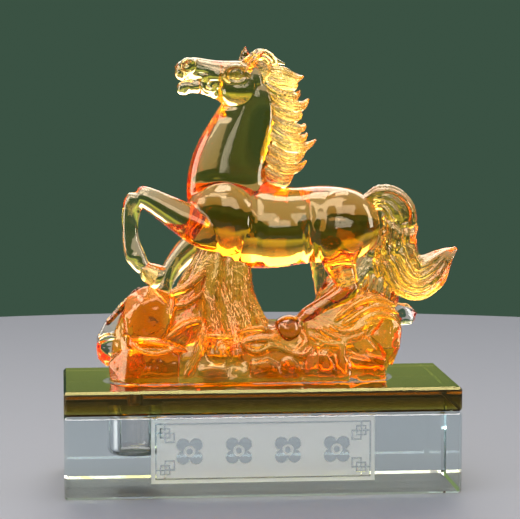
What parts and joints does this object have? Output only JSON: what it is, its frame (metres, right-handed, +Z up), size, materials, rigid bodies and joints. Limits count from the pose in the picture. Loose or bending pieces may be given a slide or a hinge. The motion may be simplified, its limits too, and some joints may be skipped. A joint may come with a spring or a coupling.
{
  "type": "crystal glass horse figurine",
  "caption": "Cast amber crystal glass horse on rocks, bonded to an amber plate and clear block that holds a scent well closed by a pull-out knurled stopper.",
  "frame": {"origin": "middle of the flat underside of the clear block", "axes": "+Z up, +X towards the tail, the horse faces -X, -Y is the etched front"},
  "size_m": [0.1231, 0.05, 0.1352],
  "materials": {
    "clear_crystal": "polished optical glass, etched panel on the front",
    "adhesive": "clear cured adhesive film",
    "amber_plate_glass": "polished amber glass",
    "horse_glass": "fire-polished pale amber cast glass",
    "strand_glass": "grooved amber cast glass",
    "rock_glass": "faceted deep orange cast glass",
    "pale_rock_glass": "faceted pale straw cast glass",
    "gasket": "satin silicone",
    "stopper_plastic": "translucent moulded plastic",
    "gold_cap": "polished gold plate"
  },
  "bodies": {
    "casting_and_base": {"base_block": "clear_crystal", "plate_bond": "adhesive", "amber_plate": "amber_plate_glass", "casting_bond": "adhesive", "rock_plinth": "rock_glass", "rock_left": "rock_glass", "rock_mid_left": "rock_glass", "rock_mid": "rock_glass", "rock_right": "rock_glass", "rock_left_back": "pale_rock_glass", "rock_right_tip": "pale_rock_glass", "spray": "strand_glass", "horse_trunk": "horse_glass", "horse_neck": "horse_glass", "horse_head": "horse_glass", "ear_near": "horse_glass", "ear_far": "horse_glass", "forelock": "strand_glass", "mane": "strand_glass", "tail": "strand_glass", "foreleg_near": "horse_glass", "foreleg_far": "horse_glass", "hindleg_near": "horse_glass", "hindleg_far": "horse_glass"},
    "stopper": {"stopper_gasket": "gasket", "stopper_plug": "stopper_plastic", "stopper_cap": "gold_cap"}
  },
  "joints": [
    {"name": "stopper_pull", "type": "slide", "parent": "casting_and_base", "child": "stopper", "axis": [0, 0, 1], "range_m": [0, 0.02]}
  ]
}
